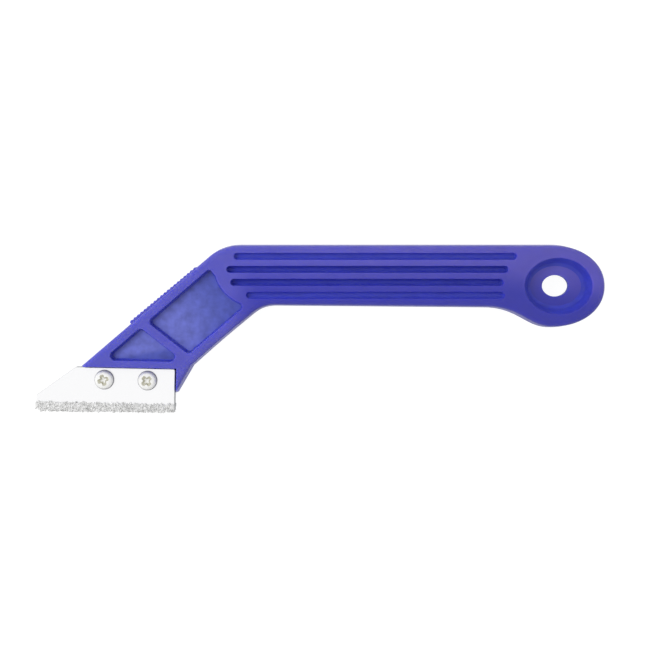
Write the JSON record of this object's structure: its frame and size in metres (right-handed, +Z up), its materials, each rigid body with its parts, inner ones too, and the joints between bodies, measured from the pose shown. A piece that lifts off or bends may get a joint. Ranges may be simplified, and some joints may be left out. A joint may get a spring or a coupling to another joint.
{
  "type": "hand grout saw",
  "caption": "Hand grout saw: a cranked moulded handle with a hanging hole, and grit-edged steel blades screwed to a step in its nose.",
  "frame": {"origin": "under the middle of the saw's outline, on the flat back face that it lies on", "axes": "+X along the grip towards the hanging lobe, +Y towards the grip's upper edge, +Z up through the thickness to the screw heads' side"},
  "size_m": [0.2044, 0.0602, 0.012],
  "materials": {
    "blue_plastic": "moulded polypropylene, soft sheen on the rims, satin in the pockets",
    "plated_steel": "bright plated sheet steel, faint edge lines",
    "carbide_grit": "coarse carbide grit brazed on, light grey and glittering",
    "zinc_fastener": "bright zinc plate"
  },
  "bodies": {
    "saw": {"handle": "blue_plastic", "front_blade": "plated_steel", "front_blade_grit": "carbide_grit", "rear_blade": "plated_steel", "rear_blade_grit": "carbide_grit", "toe_nut": "zinc_fastener", "heel_nut": "zinc_fastener"},
    "toe_screw_body": {"toe_screw": "zinc_fastener"},
    "heel_screw_body": {"heel_screw": "zinc_fastener"}
  },
  "joints": [
    {"name": "toe_screw_turn", "type": "hinge", "parent": "saw", "child": "toe_screw_body", "pos_m": [-0.07687, -0.01819, 0.009], "axis": [0, 0, 1], "range_deg": [0, 1540]},
    {"name": "heel_screw_turn", "type": "hinge", "parent": "saw", "child": "heel_screw_body", "pos_m": [-0.06137, -0.01851, 0.009], "axis": [0, 0, 1], "range_deg": [0, 1540]}
  ]
}
